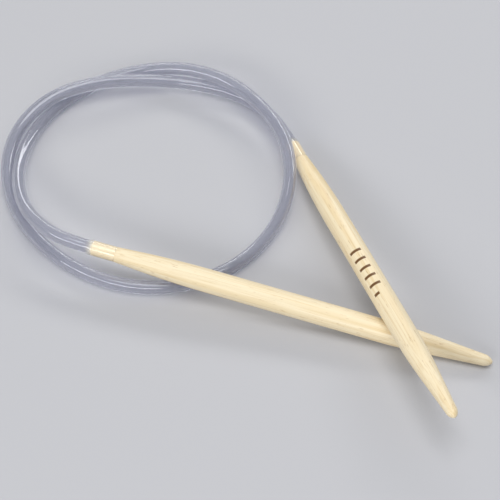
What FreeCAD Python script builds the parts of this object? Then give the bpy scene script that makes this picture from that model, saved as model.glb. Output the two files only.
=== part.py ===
import FreeCAD, Part
import math
import os

# Circular knitting needle: two bamboo needles joined by one clear hollow tube, lying on a flat surface.
# Millimetres, +Z up. The surface is z = 0, and the origin is under the middle of the two needles' box.
# Needle A lies nearly flat: its front end touches the surface and the tube passes beneath its back end.
# Needle B lies across needle A.

V = FreeCAD.Vector
UP = V(0, 0, 1)

# ---- needle, both alike ----
SHANK_DIAMETER = 5.5
NEEDLE_LENGTH = 90.2        # shoulder to tip
POINT_LENGTH = 21.0         # tip to the corner where point and shank would meet
POINT_ROUND = 6.0           # the corner is rounded this far to each side
NOSE_LENGTH = 2.0           # tip to where the point's flank ends and the nose begins
NOSE_DIAMETER = 2.7         # thickness there
TIP_RADIUS = 0.6
BACK_LENGTH = 14.0          # shoulder to the corner where back taper and shank would meet
BACK_ROUND = 8.5            # the corner is rounded this far to each side
SHOULDER_DIAMETER = 3.6
TENON_DIAMETER = 2.6
TENON_LENGTH = 6.0
TENON_CHAMFER = 0.3

# ---- tube ----
TUBE_DIAMETER = 3.2
TUBE_BORE = 2.0
FLARE_LENGTH = 1.5          # from the stretched end on the tenon down to the free tube
ARC_SHARE = 0.45            # share of the shorter run that each rounded corner takes

# ---- how the needles lie ----
NEEDLE_GAP = 0.15           # between the two needles where they cross
TUBE_GAP = 0.17             # between needle A and the tube beneath it
TUBE_LIFT = 0.02            # between the tube and the surface
TUBE_UNDER_A = 16.4         # from needle A's shoulder to where the tube passes beneath it
SHOULDER_A = (-39.90, 5.40)
HEADING_A = -17.5           # degrees, from +X, shoulder to tip
SHOULDER_B = (3.52, 38.89)
SHOULDER_B_HEIGHT = 2.90
HEADING_B = -69.0
SLOPE_STEPS = 8

# ---- tube's route, tenon A to tenon B: the points between the two runs that leave the tenons ----
FIRST_RUN = 6.3             # straight out of tenon A
LAST_RUN = 7.4              # straight into tenon B
ROUTE = [
    (-56.9, 12.9, 7.8), (-61.7, 19.6, 6.7), (-64.3, 29.5, 4.6), (-64.3, 40.5, 2.5), (-61.3, 50.7, 1.62),
    (-55.9, 58.9, 1.62), (-47.5, 66.1, 1.62), (-36.2, 69.6, 3.0), (-24.6, 68.0, 5.3), (-14.2, 63.1, 5.9),
    (-6.4, 55.3, 5.5), (-1.0, 45.9, 5.4), (1.1, 34.9, 4.9), (-0.5, 23.9, 2.5), (-5.6, 13.7, 1.62),
    (-14.0, 5.0, 1.62), (-25.6, 0.1, 1.62), (-38.3, 0.3, 1.62), (-49.9, 5.7, 1.62), (-59.0, 14.5, 1.62),
    (-65.3, 25.4, 1.62), (-68.0, 37.6, 1.8), (-65.9, 49.4, 3.0), (-58.2, 58.1, 5.2), (-47.2, 62.8, 5.4),
    (-35.6, 65.1, 4.0), (-24.0, 65.7, 2.3), (-13.8, 63.0, 1.9), (-6.5, 58.5, 1.62),
]
NECK_A_CORNERS = 3          # rounded corners of the route in the tube's first stretch
NECK_B_CORNERS = 3          # and in its last


def heading(degrees, slope):
    """Unit vector at a compass angle from +X, rising by slope radians."""
    a = math.radians(degrees)
    return V(math.cos(slope) * math.cos(a), math.cos(slope) * math.sin(a), math.sin(slope))


def point_slope():
    """Angle of the point's straight flank, from its corner with the shank to the start of the nose."""
    drop = (SHANK_DIAMETER - NOSE_DIAMETER) / 2
    return math.atan(drop / (POINT_LENGTH - NOSE_LENGTH))


def lay_needle_a():
    """Shoulder and direction of needle A: its front round on the surface, the tube just beneath it behind."""
    radius = SHANK_DIAMETER / 2
    rise = TUBE_LIFT + TUBE_DIAMETER + TUBE_GAP
    front = NEEDLE_LENGTH - POINT_LENGTH - POINT_ROUND
    round_radius = POINT_ROUND / math.tan(point_slope() / 2)
    slope = 0.0
    for step in range(SLOPE_STEPS):
        drop = round_radius * (1 - math.cos(slope)) + radius * (math.cos(slope) - 1 / math.cos(slope))
        slope = math.asin((rise - drop) / (front - TUBE_UNDER_A))
    height = front * math.sin(slope) + radius * math.cos(slope) + round_radius * (1 - math.cos(slope))
    return V(SHOULDER_A[0], SHOULDER_A[1], height), heading(HEADING_A, -slope)


def lay_needle_b(shoulder_a, along_a):
    """Shoulder and direction of needle B: it rises to lie across needle A with NEEDLE_GAP between them."""
    shoulder = V(SHOULDER_B[0], SHOULDER_B[1], SHOULDER_B_HEIGHT)
    apart = SHANK_DIAMETER + NEEDLE_GAP
    slope = 0.0
    for step in range(SLOPE_STEPS):
        along = heading(HEADING_B, slope)
        normal = along_a.cross(along).normalize()
        if normal.z < 0:
            normal = -normal
        short = apart - (shoulder - shoulder_a).dot(normal)
        plan = V(along.x, along.y, 0).normalize()
        side = V(-along_a.y, along_a.x, 0).normalize()
        reach = abs((shoulder - shoulder_a).dot(side) / plan.dot(side))
        slope += short / reach
    return shoulder, heading(HEADING_B, slope)


def rounded_corner(corner, reach, slope):
    """Ends and middle of the arc that rounds a flat-to-taper corner of a profile, reach to each side."""
    x, r = corner
    flat_end = V(x + reach, r, 0)
    taper_end = V(x - reach * math.cos(slope), r - reach * math.sin(slope), 0)
    middle = V(x - reach * math.tan(slope / 4) * math.sin(slope / 2),
               r - reach * math.tan(slope / 4) * math.cos(slope / 2), 0)
    return taper_end, middle, flat_end


def nose_arcs(flank):
    """Start, middle and end of the nose's two arcs: a large one that touches the flank, then the tip's own."""
    start = V(NEEDLE_LENGTH - NOSE_LENGTH, NOSE_DIAMETER / 2, 0)
    ball = V(NEEDLE_LENGTH - TIP_RADIUS, 0, 0)
    out = V(math.sin(flank), math.cos(flank), 0)
    across = start - ball
    radius = (across.Length ** 2 - TIP_RADIUS ** 2) / (2 * (across.dot(out) - TIP_RADIUS))
    centre = start - out * radius
    forward = (ball - centre).normalize()
    middle = centre + (out + forward).normalize() * radius
    meet = ball + forward * TIP_RADIUS
    tip_middle = ball + (forward + V(1, 0, 0)).normalize() * TIP_RADIUS
    return (start, middle, meet), (meet, tip_middle, V(NEEDLE_LENGTH, 0, 0))


def needle():
    """One needle along +X: shoulder at x = 0, tip at NEEDLE_LENGTH, tenon behind the shoulder."""
    radius = SHANK_DIAMETER / 2
    shoulder = SHOULDER_DIAMETER / 2
    tenon = TENON_DIAMETER / 2
    back_slope = math.atan((radius - shoulder) / BACK_LENGTH)
    back = rounded_corner((BACK_LENGTH, radius), BACK_ROUND, back_slope)
    flank = point_slope()
    point = []
    for p in rounded_corner((-(NEEDLE_LENGTH - POINT_LENGTH), radius), POINT_ROUND, flank):
        point.append(V(-p.x, p.y, 0))
    nose, tip = nose_arcs(flank)
    tenon_end = V(-TENON_LENGTH, 0, 0)
    chamfer_in = V(-TENON_LENGTH, tenon - TENON_CHAMFER, 0)
    chamfer_out = V(-TENON_LENGTH + TENON_CHAMFER, tenon, 0)
    edges = [
        Part.LineSegment(tenon_end, chamfer_in).toShape(),
        Part.LineSegment(chamfer_in, chamfer_out).toShape(),
        Part.LineSegment(chamfer_out, V(0, tenon, 0)).toShape(),
        Part.LineSegment(V(0, tenon, 0), V(0, shoulder, 0)).toShape(),
        Part.LineSegment(V(0, shoulder, 0), back[0]).toShape(),
        Part.Arc(back[0], back[1], back[2]).toShape(),
        Part.LineSegment(back[2], point[2]).toShape(),
        Part.Arc(point[2], point[1], point[0]).toShape(),
        Part.LineSegment(point[0], nose[0]).toShape(),
        Part.Arc(nose[0], nose[1], nose[2]).toShape(),
        Part.Arc(tip[0], tip[1], tip[2]).toShape(),
        Part.LineSegment(tip[2], tenon_end).toShape(),
    ]
    profile = Part.Face(Part.Wire(edges))
    return profile.revolve(V(0, 0, 0), V(1, 0, 0), 360)


def sleeve():
    """Stretched end of the tube along -X from the shoulder: over the tenon, then flaring down to the tube."""
    flare_end = -TENON_LENGTH - FLARE_LENGTH
    outline = [
        V(0, TENON_DIAMETER / 2, 0), V(0, SHOULDER_DIAMETER / 2, 0),
        V(-TENON_LENGTH, SHOULDER_DIAMETER / 2, 0), V(flare_end, TUBE_DIAMETER / 2, 0),
        V(flare_end, TUBE_BORE / 2, 0), V(-TENON_LENGTH, TENON_DIAMETER / 2, 0),
        V(0, TENON_DIAMETER / 2, 0),
    ]
    return Part.Face(Part.makePolygon(outline)).revolve(V(0, 0, 0), V(1, 0, 0), 360)


def placed(shape, shoulder, along):
    """A piece modelled along X, moved to a needle's shoulder and turned to its direction."""
    moved = shape.copy()
    moved.Placement = FreeCAD.Placement(shoulder, FreeCAD.Rotation(V(1, 0, 0), along))
    return moved


def route_corner(before, point, after):
    """Start, middle and end of the arc that rounds one point of the route, and its radius."""
    arrive = (point - before).normalize()
    leave = (after - point).normalize()
    half_turn = arrive.getAngle(leave) / 2
    tangent = ARC_SHARE * min((point - before).Length, (after - point).Length)
    radius = tangent / math.tan(half_turn)
    inward = (leave - arrive).normalize()
    middle = point + inward * (radius / math.cos(half_turn) - radius)
    return point - arrive * tangent, middle, point + leave * tangent, radius


def tube_along(start, corners, end):
    """Hollow tube from start to end through rounded corners, and the length of its centre line."""
    edges = []
    here = start
    for arc_start, middle, arc_end, radius in corners:
        edges.append(Part.LineSegment(here, arc_start).toShape())
        edges.append(Part.Arc(arc_start, middle, arc_end).toShape())
        here = arc_end
    edges.append(Part.LineSegment(here, end).toShape())
    path = Part.Wire(edges)
    leaving = (corners[0][0] - start).normalize()
    solids = []
    for diameter in (TUBE_DIAMETER, TUBE_BORE):
        ring = Part.Wire(Part.makeCircle(diameter / 2, start, leaving))
        solids.append(path.makePipeShell([ring], True, False))
    return solids[0].cut(solids[1]), path.Length


def print_tube(name, shape, length):
    """Volume of a stretch of tube beside its section times its length."""
    section = math.pi / 4 * (TUBE_DIAMETER ** 2 - TUBE_BORE ** 2)
    print(f"{name}: length {length:.2f}, volume {shape.Volume:.2f}, section x length {section * length:.2f}")


def main():
    shoulder_a, along_a = lay_needle_a()
    shoulder_b, along_b = lay_needle_b(shoulder_a, along_a)
    end_a = shoulder_a - along_a * TENON_LENGTH
    end_b = shoulder_b - along_b * TENON_LENGTH
    points = [end_a, end_a - along_a * FIRST_RUN]
    points += [V(*p) for p in ROUTE]
    points += [end_b - along_b * LAST_RUN, end_b]
    corners = []
    for before, point, after in zip(points, points[1:], points[2:]):
        corners.append(route_corner(before, point, after))
    print("radii " + " ".join(f"{c[3]:.1f}" for c in corners))

    seam_a = (points[NECK_A_CORNERS] + points[NECK_A_CORNERS + 1]) / 2
    last = len(points) - 1
    seam_b = (points[last - NECK_B_CORNERS] + points[last - NECK_B_CORNERS - 1]) / 2
    flare_a = end_a - along_a * FLARE_LENGTH
    flare_b = end_b - along_b * FLARE_LENGTH
    neck_a, length_a = tube_along(flare_a, corners[:NECK_A_CORNERS], seam_a)
    loop, length_loop = tube_along(seam_a, corners[NECK_A_CORNERS:-NECK_B_CORNERS], seam_b)
    neck_b, length_b = tube_along(seam_b, corners[-NECK_B_CORNERS:], flare_b)
    print_tube("tube_neck_a", neck_a, length_a)
    print_tube("tube_loop", loop, length_loop)
    print_tube("tube_neck_b", neck_b, length_b)
    print(f"tube between the tenons {length_a + length_loop + length_b + 2 * FLARE_LENGTH:.1f}")

    stick = needle()
    sock = sleeve()
    nodes = {
        "needle_a": placed(stick, shoulder_a, along_a),
        "needle_b": placed(stick, shoulder_b, along_b),
        "tube_neck_a": placed(sock, shoulder_a, along_a).fuse(neck_a).removeSplitter(),
        "tube_loop": loop,
        "tube_neck_b": placed(sock, shoulder_b, along_b).fuse(neck_b).removeSplitter(),
    }
    os.makedirs("parts", exist_ok=True)
    for name, shape in nodes.items():
        box = shape.BoundBox
        print(f"{name}: {len(shape.Solids)} solid, x {box.XMin:.2f} {box.XMax:.2f}, "
              f"y {box.YMin:.2f} {box.YMax:.2f}, z {box.ZMin:.2f} {box.ZMax:.2f}")
        shape.exportStep(f"parts/{name}.step")
    for name, p, u in (("a", end_a, along_a), ("b", end_b, along_b)):
        tip = p + u * (TENON_LENGTH + NEEDLE_LENGTH)
        print(f"needle {name}: tenon end {tuple(p)}, direction {tuple(u)}, tip {tuple(tip)}")


main()
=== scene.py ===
import math

import bpy
import numpy as np
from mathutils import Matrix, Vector


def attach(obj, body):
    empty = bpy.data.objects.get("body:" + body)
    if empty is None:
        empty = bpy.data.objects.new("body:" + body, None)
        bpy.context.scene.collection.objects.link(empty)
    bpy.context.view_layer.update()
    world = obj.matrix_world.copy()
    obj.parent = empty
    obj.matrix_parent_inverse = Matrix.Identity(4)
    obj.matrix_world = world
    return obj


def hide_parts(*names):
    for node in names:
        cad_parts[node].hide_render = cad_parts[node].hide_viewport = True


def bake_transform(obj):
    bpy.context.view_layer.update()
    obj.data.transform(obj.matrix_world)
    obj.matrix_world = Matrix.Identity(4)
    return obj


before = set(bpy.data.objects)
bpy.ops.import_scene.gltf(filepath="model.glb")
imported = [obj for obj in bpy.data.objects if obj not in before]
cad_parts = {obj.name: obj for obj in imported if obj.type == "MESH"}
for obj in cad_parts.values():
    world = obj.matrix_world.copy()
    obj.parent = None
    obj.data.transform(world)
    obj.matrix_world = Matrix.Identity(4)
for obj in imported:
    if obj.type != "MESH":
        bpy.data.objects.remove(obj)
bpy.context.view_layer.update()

# Circular knitting needle: two turned bamboo needles and the clear soft tube between them, laid in a loop.
# Metres throughout. A name that ends in _MM is in millimetres.

MM = 0.001
SHARP_EDGE = math.radians(35)

# ---- needles, both alike ----
SHANK_RADIUS = 2.75 * MM
NEEDLE_LENGTH = 90.2 * MM
POINT_LENGTH = 21.0 * MM
POINT_ROUND = 6.0 * MM
NOSE_LENGTH = 2.0 * MM
NOSE_BASE = 1.35 * MM       # radius where the point's flank ends and the nose begins
TIP_RADIUS = 0.6 * MM
BACK_LENGTH = 14.0 * MM
BACK_ROUND = 8.5 * MM
SHOULDER_RADIUS = 1.8 * MM
TENON_RADIUS = 1.3 * MM
TENON_LENGTH = 6.0 * MM
TENON_CHAMFER = 0.3 * MM
EDGE_BREAK = 0.12 * MM      # the sanded edge of the shoulder
NEEDLE_SIDES = 160
NEEDLE_ROWS = 300
ARC_STEPS = 7               # points on each rounded corner
NOSE_STEPS = 14             # points on each of the nose's two arcs

# ---- the tally burned into needle B: five bars across the stick and a half bar ----
MARK_START = 36.3 * MM      # from the shoulder to the middle of the first bar
MARK_TURN = math.radians(65)    # round the stick from its level side; straight up is 90
BAR_PITCH = 2.9 * MM
BAR_WIDTH = 0.8 * MM
BAR_LENGTH = 3.0 * MM
BAR_COUNT = 6
MARK_DEPTH = 0.05 * MM
MARK_SOFT = 0.10 * MM
MARK_ROW = 0.12 * MM        # rows of the mesh stand this close under the bars

# ---- how far along the grain's pattern each needle is cut from, so that they differ ----
GRAIN_START_A = 0.0
GRAIN_START_B = 0.4

# ---- tube ----
TUBE_RADIUS = 1.6 * MM
BORE_RADIUS = 1.0 * MM
FLARE = 1.5 * MM            # from the stretched end on the tenon down to the free tube
GLUED_BORE = 1.28 * MM      # just inside the wood, because glue leaves no air between tube and tenon
TUBE_SIDES = 48
RING_STEP = 0.5 * MM
FLARE_STEP = 0.25 * MM
SOCK_RINGS = 12             # rings along the part that covers the tenon
NECK_A_REACH = 62.6 * MM    # tube piece A runs this far past its tenon, to where the tube lies under itself
NECK_B_REACH = 30.0 * MM    # and piece B this far

# Route of the tube's middle, from needle A's tenon to needle B's, in millimetres.
ROUTE_MM = [
    (-45.610, 7.200, 7.608), (-51.606, 9.091, 8.019),
    (-56.9, 12.9, 7.8), (-61.7, 19.6, 6.7), (-64.3, 29.5, 4.6), (-64.3, 40.5, 2.5), (-61.3, 50.7, 1.62),
    (-55.9, 58.9, 1.62), (-47.5, 66.1, 1.62), (-36.2, 69.6, 3.0), (-24.6, 68.0, 5.3), (-14.2, 63.1, 5.9),
    (-6.4, 55.3, 5.5), (-1.0, 45.9, 5.4), (1.1, 34.9, 4.9), (-0.5, 23.9, 2.5), (-5.6, 13.7, 1.62),
    (-14.0, 5.0, 1.62), (-25.6, 0.1, 1.62), (-38.3, 0.3, 1.62), (-49.9, 5.7, 1.62), (-59.0, 14.5, 1.62),
    (-65.3, 25.4, 1.62), (-68.0, 37.6, 1.8), (-65.9, 49.4, 3.0), (-58.2, 58.1, 5.2), (-47.2, 62.8, 5.4),
    (-35.6, 65.1, 4.0), (-24.0, 65.7, 2.3), (-13.8, 63.0, 1.9), (-6.5, 58.5, 1.62),
    (-1.259, 51.339, 1.583), (1.380, 44.464, 2.310),
]
ROUTE_STEPS = 24            # points on the line for each point of the route
ROUTE_ORDER = 3             # a spline of this order touches the runs between the points at their middles


# ---- small helpers ----

def unit(v):
    """Rows of v scaled to length one."""
    return v / np.linalg.norm(v, axis=-1, keepdims=True)


def srgb(code):
    """Linear RGBA of an sRGB hex colour such as 'f2dfb4'."""
    parts = np.array([int(code[i:i + 2], 16) / 255 for i in (0, 2, 4)])
    linear = np.where(parts <= 0.04045, parts / 12.92, ((parts + 0.055) / 1.055) ** 2.4)
    return (*[float(c) for c in linear], 1.0)


def mesh_object(name, points, faces):
    """A smooth mesh object at the origin from points (n, 3) and lists of point numbers.
    Edges sharper than SHARP_EDGE stay sharp."""
    mesh = bpy.data.meshes.new(name)
    mesh.from_pydata(points.tolist(), [], faces)
    mesh.polygons.foreach_set("use_smooth", np.ones(len(mesh.polygons), bool))
    mesh.update()
    mesh.set_sharp_from_angle(angle=SHARP_EDGE)
    obj = bpy.data.objects.new(name, mesh)
    bpy.context.scene.collection.objects.link(obj)
    return obj


def grid_quads(rows, columns, closed=False):
    """Quads over a grid of rows x columns points, each row joined round on itself.
    closed also joins the last row to the first."""
    i = np.arange(rows if closed else rows - 1)[:, None]
    j = np.arange(columns)[None, :]
    below = (i + 1) % rows
    beside = (j + 1) % columns
    corners = [below * columns + j, below * columns + beside, i * columns + beside, i * columns + j]
    return np.stack(corners, -1).reshape(-1, 4).tolist()


def fan(ring, pole):
    """Triangles from each side of a closed ring of point numbers to one point."""
    return np.stack([ring, np.roll(ring, -1), np.full(len(ring), pole)], -1).tolist()


def point_attribute(obj, name, kind, values):
    """Stores one value or vector on each point of a mesh."""
    layer = obj.data.attributes.new(name, kind, "POINT")
    field = "vector" if kind == "FLOAT_VECTOR" else "value"
    layer.data.foreach_set(field, np.ascontiguousarray(values).ravel())


# ---- the route ----

def read_spline(points_mm):
    """Points along the NURBS spline that has the route's points as its control points."""
    curve = bpy.data.curves.new("route", "CURVE")
    curve.dimensions = "3D"
    curve.resolution_u = ROUTE_STEPS
    spline = curve.splines.new("NURBS")
    spline.points.add(len(points_mm) - 1)
    control = np.ones((len(points_mm), 4))
    control[:, :3] = np.array(points_mm) * MM
    spline.points.foreach_set("co", control.ravel())
    spline.order_u = ROUTE_ORDER
    spline.use_endpoint_u = True
    obj = bpy.data.objects.new("route", curve)
    bpy.context.scene.collection.objects.link(obj)
    mesh = bpy.data.meshes.new_from_object(obj)
    line = np.empty(len(mesh.vertices) * 3)
    mesh.vertices.foreach_get("co", line)
    bpy.data.objects.remove(obj)
    bpy.data.curves.remove(curve)
    bpy.data.meshes.remove(mesh)
    return line.reshape(-1, 3)


def lengths_along(line):
    """Distance along a line of points at each of them."""
    return np.concatenate([[0.0], np.cumsum(np.linalg.norm(np.diff(line, axis=0), axis=1))])


def points_at(line, along):
    """Points of a line at given distances along it."""
    s = lengths_along(line)
    return np.stack([np.interp(along, s, line[:, k]) for k in range(3)], 1)


ROUTE = read_spline(ROUTE_MM)
ROUTE_LENGTH = lengths_along(ROUTE)[-1]
CONTROL = np.array(ROUTE_MM) * MM
END_A, END_B = CONTROL[0], CONTROL[-1]      # where each tenon ends inside the tube
ALONG_A, ALONG_B = unit(CONTROL[0] - CONTROL[1]), unit(CONTROL[-1] - CONTROL[-2])   # towards the points
SHOULDER_A = END_A + ALONG_A * TENON_LENGTH
SHOULDER_B = END_B + ALONG_B * TENON_LENGTH


# ---- needles ----

def round_off(x, r, reach, slope, side):
    """Points of the arc that rounds a flat-to-taper corner at (x, r), reach to each side.
    side is -1 where the taper lies towards smaller x and +1 where it lies towards larger x.
    The arc is the circle that touches the flat at x - side * reach."""
    radius = reach / math.tan(slope / 2)
    angle = np.linspace(0.0, slope, ARC_STEPS)
    return x - side * reach + side * radius * np.sin(angle), r - radius * (1 - np.cos(angle))


def nose_profile(flank):
    """Points of the nose's two arcs: a large circle that touches the flank, then the tip's own circle.
    The large one's radius is (d.d - t^2) / (2 (d.n - t)), where t is the tip's radius, n the flank's outward
    direction and d the way from the tip circle's middle to the start of the nose."""
    start = np.array([NEEDLE_LENGTH - NOSE_LENGTH, NOSE_BASE])
    ball = np.array([NEEDLE_LENGTH - TIP_RADIUS, 0.0])
    out = np.array([math.sin(flank), math.cos(flank)])
    across = start - ball
    radius = (across @ across - TIP_RADIUS ** 2) / (2 * (across @ out - TIP_RADIUS))
    centre = start - radius * out
    forward = ball - centre
    turn = math.atan2(forward[0], forward[1])
    large = np.linspace(flank, turn, NOSE_STEPS)
    small = np.linspace(turn, math.pi / 2, NOSE_STEPS)[1:]
    x = np.concatenate([centre[0] + radius * np.sin(large), ball[0] + TIP_RADIUS * np.sin(small)])
    r = np.concatenate([centre[1] + radius * np.cos(large), TIP_RADIUS * np.cos(small)])
    return x, r


def needle_profile():
    """Radius of the turned stick against distance from its shoulder, from tenon end to tip.
    Straight tenon, square shoulder with a sanded edge, straight back taper, cylinder, straight point and
    nose, each corner between them an arc."""
    flank = math.atan((SHANK_RADIUS - NOSE_BASE) / (POINT_LENGTH - NOSE_LENGTH))
    back_slope = math.atan((SHANK_RADIUS - SHOULDER_RADIUS) / BACK_LENGTH)
    back_x, back_r = round_off(BACK_LENGTH, SHANK_RADIUS, BACK_ROUND, back_slope, -1)
    point_x, point_r = round_off(NEEDLE_LENGTH - POINT_LENGTH, SHANK_RADIUS, POINT_ROUND, flank, 1)
    nose_x, nose_r = nose_profile(flank)
    tenon_x = [-TENON_LENGTH, -TENON_LENGTH + TENON_CHAMFER, 0.0]
    tenon_r = [TENON_RADIUS - TENON_CHAMFER, TENON_RADIUS, TENON_RADIUS]
    edge = np.linspace(0.0, math.pi / 2, ARC_STEPS)
    edge_x = EDGE_BREAK * (1 - np.cos(edge))
    edge_r = SHOULDER_RADIUS - EDGE_BREAK * (1 - np.sin(edge))
    x = np.concatenate([tenon_x, edge_x, back_x[::-1], point_x, nose_x])
    r = np.concatenate([tenon_r, edge_r, back_r[::-1], point_r, nose_r])
    return x, r


def needle_rings(marked):
    """Place and radius of each ring of the stick, evenly along its profile and closer under the tally.
    The last one is the tip, where the radius is nought."""
    x, r = needle_profile()
    s = lengths_along(np.stack([x, r], 1))
    rows = [np.linspace(0.0, s[-1], NEEDLE_ROWS), s]
    if marked:
        first = np.interp(MARK_START, x, s)
        rows.append(np.arange(first - BAR_PITCH, first + BAR_COUNT * BAR_PITCH, MARK_ROW))
    rows = np.unique(np.concatenate(rows).round(8))
    return np.interp(rows, s, x), np.interp(rows, s, r)


def tally(x, across):
    """Depth share, 0 to 1, of the burned bars, each a rectangle whose edges fade over MARK_SOFT."""
    burn = np.zeros(np.broadcast(x, across).shape)
    for bar in range(BAR_COUNT):
        centre = MARK_START + bar * BAR_PITCH
        end = 0.0 if bar == BAR_COUNT - 1 else BAR_LENGTH / 2
        in_length = np.minimum(across + BAR_LENGTH / 2, end - across)
        inside = np.minimum(BAR_WIDTH / 2 - abs(x - centre), in_length)
        burn = np.maximum(burn, np.clip(inside / MARK_SOFT + 0.5, 0.0, 1.0))
    return burn


def needle(name, node, body, shoulder, along, grain_start, marked=False):
    """Turned bamboo stick: its rings carried along the line from its shoulder, one point closing each end.
    A point at x along and angle a round is shoulder + x * along + r(x) * (side cos a + over sin a).
    The stick's own coordinates are kept on its points for the grain, which runs along it."""
    x, r = needle_rings(marked)
    rings = len(x) - 1
    side = unit(np.cross(along, (0.0, 0.0, 1.0)))
    over = np.cross(side, along)
    angle = np.linspace(0.0, 2 * math.pi, NEEDLE_SIDES, endpoint=False)[None, :]
    burn = np.zeros((rings, NEEDLE_SIDES))
    if marked:
        burn = tally(x[:-1, None], (angle - MARK_TURN) * SHANK_RADIUS)
    radius = r[:-1, None] - MARK_DEPTH * burn
    reach = np.broadcast_to(x[:-1, None], radius.shape)
    own = np.stack([reach, radius * np.cos(angle), radius * np.sin(angle)], -1)
    own = np.concatenate([own.reshape(-1, 3), [(x[0], 0.0, 0.0), (x[-1], 0.0, 0.0)]])
    points = shoulder + own[:, :1] * along + own[:, 1:2] * side + own[:, 2:] * over
    first = np.arange(NEEDLE_SIDES)
    last = first[::-1] + (rings - 1) * NEEDLE_SIDES
    back, tip = len(points) - 2, len(points) - 1
    faces = grid_quads(rings, NEEDLE_SIDES) + fan(first, back) + fan(last, tip)
    obj = mesh_object(name, points, faces)
    point_attribute(obj, "stick", "FLOAT_VECTOR", own + (grain_start, 0.0, 0.0))
    point_attribute(obj, "burn", "FLOAT", np.concatenate([burn.ravel(), [0.0, 0.0]]))
    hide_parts(node)
    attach(obj, body)
    return obj


# ---- tube ----

def tube(name, line, outer, inner, stretched):
    """Hollow tube round a line: an outer and an inner wall joined by a flat ring at each end.
    A point is line(s) + radius * (side cos a + over sin a), with side level and over square to both."""
    along = unit(np.gradient(line, axis=0))
    side = unit(np.cross(along, (0.0, 0.0, 1.0)))
    over = np.cross(side, along)
    angle = np.linspace(0.0, 2 * math.pi, TUBE_SIDES, endpoint=False)
    spoke = np.cos(angle)[None, :, None] * side[:, None] + np.sin(angle)[None, :, None] * over[:, None]
    outside = line[:, None] + outer[:, None, None] * spoke
    inside = line[:, None] + inner[:, None, None] * spoke
    walls = np.concatenate([outside, inside[::-1]])
    obj = mesh_object(name, walls.reshape(-1, 3), grid_quads(len(walls), TUBE_SIDES, closed=True))
    s = lengths_along(line)
    both = np.concatenate([s, s[::-1]])
    own = np.stack(np.broadcast_arrays(both[:, None], np.cos(angle)[None], np.sin(angle)[None]), -1)
    point_attribute(obj, "length_round", "FLOAT_VECTOR", own)
    share = np.concatenate([stretched, stretched[::-1]])
    point_attribute(obj, "stretched", "FLOAT", np.repeat(share, TUBE_SIDES))
    return obj


def neck(tenon_end, shoulder, steps, route_at):
    """Line, radii and stretch of a tube end: stretched over its tenon, then easing down to the free tube.
    The share of stretch falls from 1 to 0 over FLARE on the curve 1 - (3 t^2 - 2 t^3)."""
    sock = shoulder + (tenon_end - shoulder) * np.linspace(0.0, 1.0, SOCK_RINGS, endpoint=False)[:, None]
    line = np.concatenate([sock, points_at(ROUTE, route_at)])
    t = np.concatenate([np.zeros(SOCK_RINGS), np.clip(steps / FLARE, 0.0, 1.0)])
    stretched = 1 - t * t * (3 - 2 * t)
    outer = TUBE_RADIUS + (SHOULDER_RADIUS - TUBE_RADIUS) * stretched
    inner = BORE_RADIUS + (GLUED_BORE - BORE_RADIUS) * stretched
    return line, outer, inner, stretched


def neck_steps(reach):
    """Distances of the rings past the tenon, closer over the flare."""
    return np.concatenate([np.arange(0.0, FLARE, FLARE_STEP), np.arange(FLARE, reach, RING_STEP), [reach]])


def declare_tube(nodes):
    """Hides the CAD nodes that a tube piece stands for."""
    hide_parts(*nodes)


steps_a = neck_steps(NECK_A_REACH)
neck_a = neck(END_A, SHOULDER_A, steps_a, steps_a)
tube_a = tube("tube_end_a", *neck_a)
declare_tube(["tube_neck_a"])
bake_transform(tube_a)

steps_b = neck_steps(NECK_B_REACH)
neck_b = neck(END_B, SHOULDER_B, steps_b, ROUTE_LENGTH - steps_b)
tube_b = tube("tube_end_b", *neck_b)
declare_tube(["tube_neck_b"])
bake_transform(tube_b)

loop_at = np.arange(NECK_A_REACH, ROUTE_LENGTH - NECK_B_REACH, RING_STEP)
loop_at[-1] = ROUTE_LENGTH - NECK_B_REACH
loop_line = points_at(ROUTE, loop_at)
same = np.ones(len(loop_at))
loop = tube("tube_middle", loop_line, TUBE_RADIUS * same, BORE_RADIUS * same, 0 * same)
declare_tube(["tube_loop"])
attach(loop, "tube")

needle_a = needle("needle_a_wood", "needle_a", "needle_a_end", SHOULDER_A, ALONG_A, GRAIN_START_A)
needle_b = needle("needle_b_wood", "needle_b", "needle_b_end", SHOULDER_B, ALONG_B, GRAIN_START_B,
                  marked=True)


# ---- materials ----

def add(tree, kind, sockets=None, **settings):
    """Adds a node of a kind with its settings. sockets gives each input a value, or an output to link."""
    node = tree.nodes.new(kind)
    for key, value in settings.items():
        setattr(node, key, value)
    for key, value in (sockets or {}).items():
        if isinstance(value, bpy.types.NodeSocket):
            tree.links.new(value, node.inputs[key])
        else:
            node.inputs[key].default_value = value
    return node


def new_material(name):
    """An empty node material and its tree."""
    material = bpy.data.materials.new(name)
    material.use_nodes = True
    material.node_tree.nodes.clear()
    return material, material.node_tree


def ramp(tree, source, stops):
    """Colour ramp with (position, sRGB hex) stops."""
    node = add(tree, "ShaderNodeValToRGB", {"Fac": source})
    elements = node.color_ramp.elements
    while len(elements) < len(stops):
        elements.new(0.5)   # its place is set below
    for element, (position, code) in zip(elements, stops):
        element.position = position
        element.color = srgb(code)
    return node


COLOUR_A, COLOUR_B, COLOUR_OUT = 6, 7, 2    # the colour sockets of a Mix node


def blend_colours(tree, share, first, second, kind="MIX"):
    """Colour output of a Mix node. share, first and second are values or outputs."""
    node = add(tree, "ShaderNodeMix", {0: share, COLOUR_A: first, COLOUR_B: second}, data_type="RGBA",
               blend_type=kind)
    return node.outputs[COLOUR_OUT]


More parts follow.
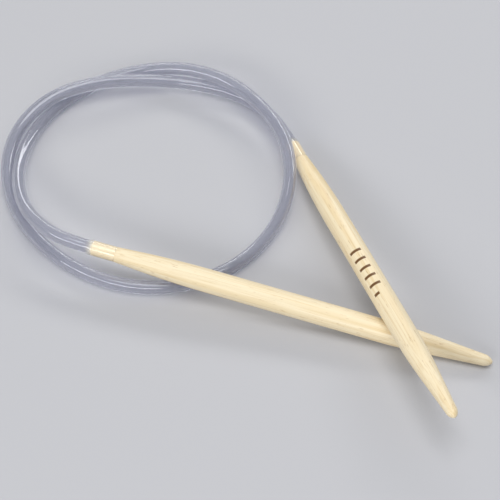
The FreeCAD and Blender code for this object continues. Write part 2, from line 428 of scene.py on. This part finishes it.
# how often a pattern repeats in a metre, along the stick and across it
FIBRE_SCALE = (50.0, 2900.0, 2900.0)    # fibre bundles about 0.35 mm wide and 20 mm long
BAND_SCALE = (14.0, 420.0, 420.0)       # paler and warmer wood in bands about 2.4 mm wide and 70 mm long
FLECK_SCALE = (380.0, 3600.0, 3600.0)   # short dark ends of fibres, 0.3 mm wide, wider than real to show
# each pattern's detail and roughness
FIBRE_NOISE = (4.0, 0.6)
BAND_NOISE = (2.0, 0.5)
FLECK_NOISE = (2.0, 0.5)
# colours along each pattern, from its low to its high values
BAND_COLOURS = [(0.3, "e4cea2"), (0.5, "ecddbc"), (0.7, "e6d3ac")]
FIBRE_COLOURS = [(0.36, "dcc491"), (0.5, "ffffff"), (0.75, "fffaf0")]
FLECK_COLOURS = [(0.28, "b08a52"), (0.36, "ffffff")]
FIBRE_SHARE = 0.32          # how strongly the fibres tint the wood
FLECK_SHARE = 0.38
BURN_COLOUR = "6b4a26"
FIBRE_STRENGTH = 0.25       # of the fibres' relief, which is FIBRE_RELIEF high
FIBRE_RELIEF = 0.03 * MM
WOOD_ROUGHNESS = 0.42
WOOD_IOR = 1.5

# the tube's faint lines: how often they repeat in a metre along it and in a radius across it
LINE_SCALE = (30.0, 5.0, 5.0)
LINE_DETAIL = 3.0
HAZE_COLOURS = [(0.35, "c4c5cd"), (0.65, "cdced6")]
STRETCHED_COLOUR = "f6f2e6"
LINE_STRENGTH = 0.02        # of the lines' relief, which is LINE_RELIEF high
LINE_RELIEF = 0.02 * MM
PVC_ROUGHNESS = 0.05
PVC_IOR = 1.52
PVC_CLEAR = 0.8             # share of the light that passes in; the rest is the haze
HAZE_WEIGHT = 0.6           # sheen, for the milky bloom towards the tube's edges
HAZE_ROUGHNESS = 0.3
HAZE_TINT = "eceef6"
PVC_SHADOW = "d5d6dc"       # what a lamp's light keeps in passing each wall

FLOOR_COLOUR = "b6b6b9"
FLOOR_ROUGHNESS = 0.6


def bamboo():
    """Bamboo, turned and sanded smooth, with a thin clear finish: pale, with fine fibres along the stick."""
    material, tree = new_material("turned_bamboo")
    own = add(tree, "ShaderNodeAttribute", attribute_name="stick").outputs["Vector"]
    burn = add(tree, "ShaderNodeAttribute", attribute_name="burn").outputs["Fac"]

    def noise(scale, detail, roughness):
        """Noise stretched along the stick."""
        at = add(tree, "ShaderNodeMapping", {"Vector": own, "Scale": scale})
        return add(tree, "ShaderNodeTexNoise", {"Vector": at.outputs[0], "Scale": 1.0, "Detail": detail,
                                                "Roughness": roughness}).outputs["Fac"]

    fibres = noise(FIBRE_SCALE, *FIBRE_NOISE)
    flecks = noise(FLECK_SCALE, *FLECK_NOISE)
    wood = ramp(tree, noise(BAND_SCALE, *BAND_NOISE), BAND_COLOURS)
    streak = ramp(tree, fibres, FIBRE_COLOURS)
    fleck = ramp(tree, flecks, FLECK_COLOURS)
    streaked = blend_colours(tree, FIBRE_SHARE, wood.outputs["Color"], streak.outputs["Color"], "MULTIPLY")
    flecked = blend_colours(tree, FLECK_SHARE, streaked, fleck.outputs["Color"], "MULTIPLY")
    colour = blend_colours(tree, burn, flecked, srgb(BURN_COLOUR))
    bump = add(tree, "ShaderNodeBump",
               {"Height": fibres, "Strength": FIBRE_STRENGTH, "Distance": FIBRE_RELIEF})
    shader = add(tree, "ShaderNodeBsdfPrincipled",
                 {"Base Color": colour, "Normal": bump.outputs[0], "Roughness": WOOD_ROUGHNESS,
                  "IOR": WOOD_IOR})
    add(tree, "ShaderNodeOutputMaterial", {"Surface": shader.outputs[0]})
    return material


def clear_pvc():
    """Soft plasticised PVC, extruded: clear with a milky grey haze, glossy, faint lines along its length.
    The haze is weaker where it is stretched thin over the tenon. Lamps reach what is inside and beneath."""
    material, tree = new_material("clear_soft_pvc")
    own = add(tree, "ShaderNodeAttribute", attribute_name="length_round").outputs["Vector"]
    stretched = add(tree, "ShaderNodeAttribute", attribute_name="stretched").outputs["Fac"]
    at = add(tree, "ShaderNodeMapping", {"Vector": own, "Scale": LINE_SCALE})
    noise = add(tree, "ShaderNodeTexNoise", {"Vector": at.outputs[0], "Scale": 1.0, "Detail": LINE_DETAIL})
    lines = noise.outputs["Fac"]
    haze = ramp(tree, lines, HAZE_COLOURS)
    colour = blend_colours(tree, stretched, haze.outputs["Color"], srgb(STRETCHED_COLOUR))
    bump = add(tree, "ShaderNodeBump", {"Height": lines, "Strength": LINE_STRENGTH, "Distance": LINE_RELIEF})
    shader = add(tree, "ShaderNodeBsdfPrincipled",
                 {"Base Color": colour, "Normal": bump.outputs[0], "Roughness": PVC_ROUGHNESS, "IOR": PVC_IOR,
                  "Transmission Weight": PVC_CLEAR, "Sheen Weight": HAZE_WEIGHT,
                  "Sheen Roughness": HAZE_ROUGHNESS, "Sheen Tint": srgb(HAZE_TINT)})
    path = add(tree, "ShaderNodeLightPath")
    through = add(tree, "ShaderNodeBsdfTransparent", {"Color": srgb(PVC_SHADOW)})
    both = add(tree, "ShaderNodeMixShader",
               {0: path.outputs["Is Shadow Ray"], 1: shader.outputs[0], 2: through.outputs[0]})
    add(tree, "ShaderNodeOutputMaterial", {"Surface": both.outputs[0]})
    return material


def pale_floor():
    """Matt painted board."""
    material, tree = new_material("pale_floor")
    shader = add(tree, "ShaderNodeBsdfPrincipled",
                 {"Base Color": srgb(FLOOR_COLOUR), "Roughness": FLOOR_ROUGHNESS})
    add(tree, "ShaderNodeOutputMaterial", {"Surface": shader.outputs[0]})
    return material


WOOD = bamboo()
PVC = clear_pvc()
for piece in (needle_a, needle_b):
    piece.data.materials.append(WOOD)
for piece in (tube_a, tube_b, loop):
    piece.data.materials.append(PVC)


# ---- stage, light and camera ----
FLOOR_HALF = 1.5
CAMERA_AIM = Vector((-8.9, 12.96, 0.0)) * MM
CAMERA_DISTANCE = 0.6
CAMERA_ELEVATION = math.radians(49.41)
CAMERA_LENS_MM = 183.5
SENSOR_WIDTH_MM = 36.0
CLIP_START = 0.01
ROOM_COLOUR = "dfe3ea"      # the light from all round
ROOM_STRENGTH = 0.42

# name, place, width and height, watts; all aim at the origin
LIGHTS = [
    ("back_strip", (0.30, 0.75, 0.50), (1.4, 0.15), 4.0),
    ("front_strip", (-0.45, -0.65, 0.40), (1.2, 0.22), 5.2),
    ("top", (0.05, -0.05, 1.0), (0.7, 0.7), 5.4),
]


def stage():
    """A plain pale floor."""
    corners = FLOOR_HALF * np.array([(-1, -1, 0), (1, -1, 0), (1, 1, 0), (-1, 1, 0)], float)
    floor = mesh_object("floor", corners, [[0, 1, 2, 3]])
    floor.data.materials.append(pale_floor())


def area_light(name, place, size, power):
    """A rectangular soft box that faces the origin."""
    data = bpy.data.lights.new(name, "AREA")
    data.shape = "RECTANGLE"
    data.size, data.size_y = size
    data.energy = power
    obj = bpy.data.objects.new(name, data)
    obj.location = place
    obj.rotation_euler = (-Vector(place)).to_track_quat("-Z", "Y").to_euler()
    bpy.context.scene.collection.objects.link(obj)


def camera():
    """In front, looking down at CAMERA_ELEVATION."""
    data = bpy.data.cameras.new("camera")
    data.sensor_width = SENSOR_WIDTH_MM
    data.lens = CAMERA_LENS_MM
    data.clip_start = CLIP_START
    obj = bpy.data.objects.new("camera", data)
    away = Vector((0.0, -math.cos(CAMERA_ELEVATION), math.sin(CAMERA_ELEVATION)))
    obj.location = CAMERA_AIM + CAMERA_DISTANCE * away
    obj.rotation_euler = (math.pi / 2 - CAMERA_ELEVATION, 0.0, 0.0)
    bpy.context.scene.collection.objects.link(obj)
    bpy.context.scene.camera = obj


def studio():
    """Soft boxes, an even surrounding light and plain sRGB colours."""
    for name, place, size, power in LIGHTS:
        area_light(name, place, size, power)
    world = bpy.data.worlds.new("studio")
    world.use_nodes = True
    background = world.node_tree.nodes["Background"]
    background.inputs["Color"].default_value = srgb(ROOM_COLOUR)
    background.inputs["Strength"].default_value = ROOM_STRENGTH
    bpy.context.scene.world = world
    bpy.context.scene.view_settings.view_transform = "Standard"


stage()
camera()
studio()
